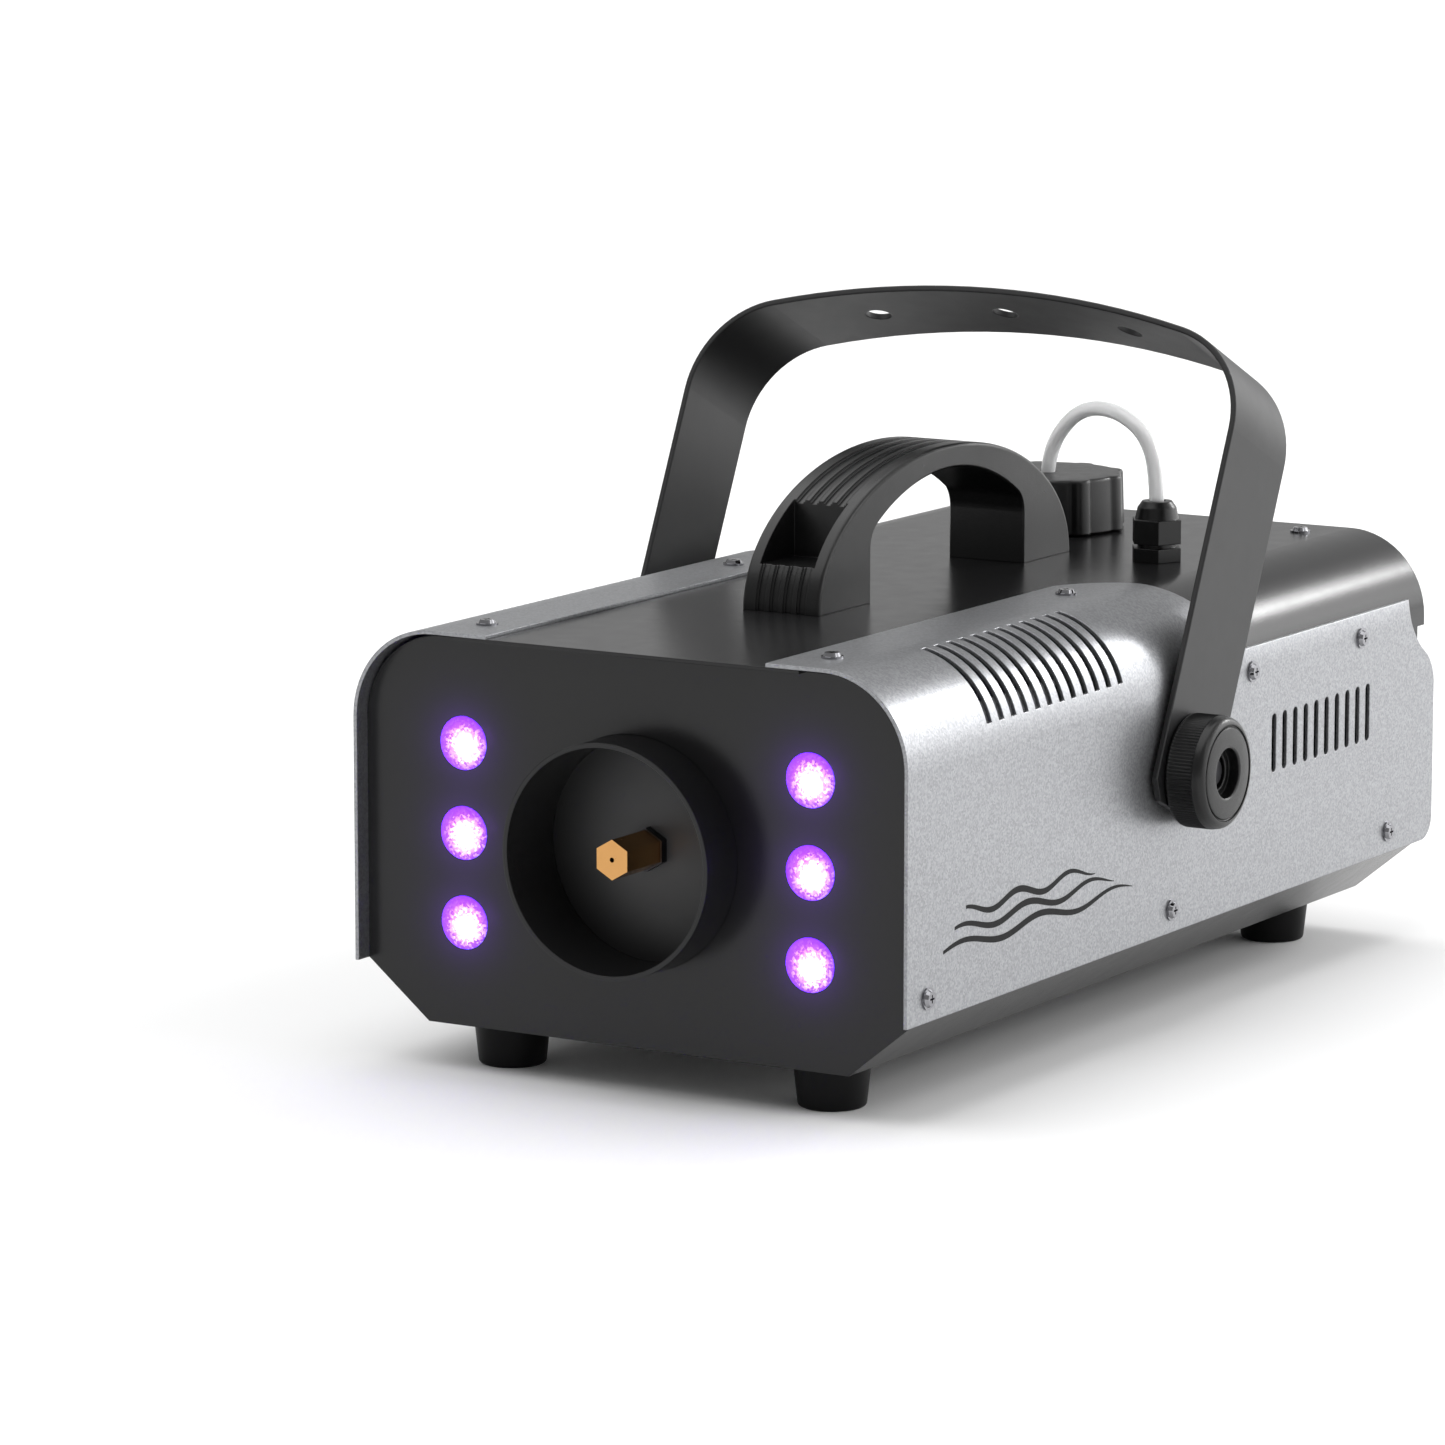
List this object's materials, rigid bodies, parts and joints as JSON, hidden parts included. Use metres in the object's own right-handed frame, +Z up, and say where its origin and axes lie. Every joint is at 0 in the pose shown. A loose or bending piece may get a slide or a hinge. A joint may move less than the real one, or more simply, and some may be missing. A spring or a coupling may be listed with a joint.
{
  "type": "fog machine",
  "caption": "Box-shaped fog machine with a recessed nozzle in a round collar, lit front lamps, carry handle, tank cap with a clear hose and a tilting hanging bracket.",
  "frame": {"origin": "centre of the overall box on the floor plane under the rubber feet", "axes": "+Z up, -Y the way the fog leaves the nozzle, +X to the right of someone who faces the front panel"},
  "size_m": [0.235, 0.3766, 0.2312],
  "materials": {
    "painted_silver": "silver-grey metallic paint, satin",
    "black_coat": "black powder coat, satin",
    "strap_coat": "black powder coat, satin",
    "black_plastic": "moulded, fine texture",
    "gloss_black": "moulded, gloss",
    "rubber": "moulded",
    "chrome_screw": "polished",
    "zinc": "zinc plated",
    "brass": "turned",
    "dark_ring": "blackened",
    "lens": "lit violet lens",
    "pcb": "solder mask",
    "parts_mix": "moulded cases",
    "aluminium": "machined",
    "felt": "ceramic fibre felt",
    "steel": "sheet",
    "tank_plastic": "natural translucent",
    "silicone": "translucent silicone",
    "red_cap": "moulded, gloss",
    "wire": "insulated wire"
  },
  "bodies": {
    "chassis": {"chassis_tray": "black_coat", "front_panel": "black_coat", "rear_panel": "black_coat", "side_cover_right": "painted_silver", "side_cover_left": "painted_silver", "top_cover": "black_coat", "cover_screws": "chrome_screw", "feet": "rubber", "foot_screws": "zinc", "collar_tube": "black_coat", "collar_back_plate": "black_coat", "nozzle_hex": "brass", "nozzle_ring": "dark_ring", "nozzle_stem": "brass", "led_lenses": "lens", "led_boards": "pcb", "led_heat_sinks": "aluminium", "heater_block": "aluminium", "heater_elements": "steel", "heater_insulation": "felt", "heater_jacket": "steel", "inner_supports": "zinc", "thermostat": "zinc", "thermal_fuse": "steel", "pump_body": "steel", "pump_frame": "zinc", "pump_mounts": "rubber", "tank": "tank_plastic", "tank_cradle": "black_coat", "tank_strap": "zinc", "suction_hose": "silicone", "pickup_tube": "silicone", "gland_body": "black_plastic", "gland_nut": "black_plastic", "gland_seal": "rubber", "gland_locknut": "black_plastic", "pump_inlet_hose": "silicone", "pump_outlet_tube": "steel", "carry_handle": "black_plastic", "handle_screws": "zinc", "bracket_studs": "zinc", "pivot_washers": "rubber", "mains_inlet": "gloss_black", "fuse_holder": "gloss_black", "switch_housing": "gloss_black", "button_bezel": "gloss_black", "remote_socket": "gloss_black", "control_board": "pcb", "board_parts": "parts_mix", "led_driver": "pcb", "wiring_loom": "wire"},
    "yoke": {"bracket": "strap_coat"},
    "right_knob": {"knob_right": "black_plastic"},
    "left_knob": {"knob_left": "black_plastic"},
    "filler_cap": {"tank_cap": "black_plastic", "cap_seal": "rubber"},
    "fuse_carrier": {"fuse_cap": "gloss_black"},
    "power_rocker": {"rocker": "red_cap"},
    "manual_button": {"fog_button": "red_cap"},
    "plunger": {"pump_plunger": "steel"}
  },
  "joints": [
    {"name": "bracket_tilt", "type": "hinge", "parent": "chassis", "child": "yoke", "pos_m": [0, -0.0007, 0.086], "axis": [1, 0, 0], "range_deg": [-12, 80]},
    {"name": "right_knob_turn", "type": "hinge", "parent": "chassis", "child": "right_knob", "pos_m": [0, -0.0007, 0.086], "axis": [1, 0, 0], "range_deg": [-360, 0]},
    {"name": "left_knob_turn", "type": "hinge", "parent": "chassis", "child": "left_knob", "pos_m": [0, -0.0007, 0.086], "axis": [1, 0, 0], "range_deg": [0, 360]},
    {"name": "cap_turn", "type": "hinge", "parent": "chassis", "child": "filler_cap", "pos_m": [-0.0201, 0.1294, 0.15], "axis": [0, 0, 1], "range_deg": [0, 540]},
    {"name": "fuse_cap_turn", "type": "hinge", "parent": "chassis", "child": "fuse_carrier", "pos_m": [-0.062, 0.1783, 0.084], "axis": [0, 1, 0], "range_deg": [-360, 0]},
    {"name": "power_switch", "type": "hinge", "parent": "chassis", "child": "power_rocker", "pos_m": [-0.022, 0.1767, 0.048], "axis": [0, 0, 1], "range_deg": [0, 16]},
    {"name": "fog_button_press", "type": "slide", "parent": "chassis", "child": "manual_button", "axis": [0, -1, 0], "range_m": [0, 0.003], "stiffness_N_per_m": 400, "springref_m": -0.002},
    {"name": "pump_stroke", "type": "slide", "parent": "chassis", "child": "plunger", "axis": [0, 1, 0], "range_m": [-0.004, 0.004], "stiffness_N_per_m": 300}
  ]
}
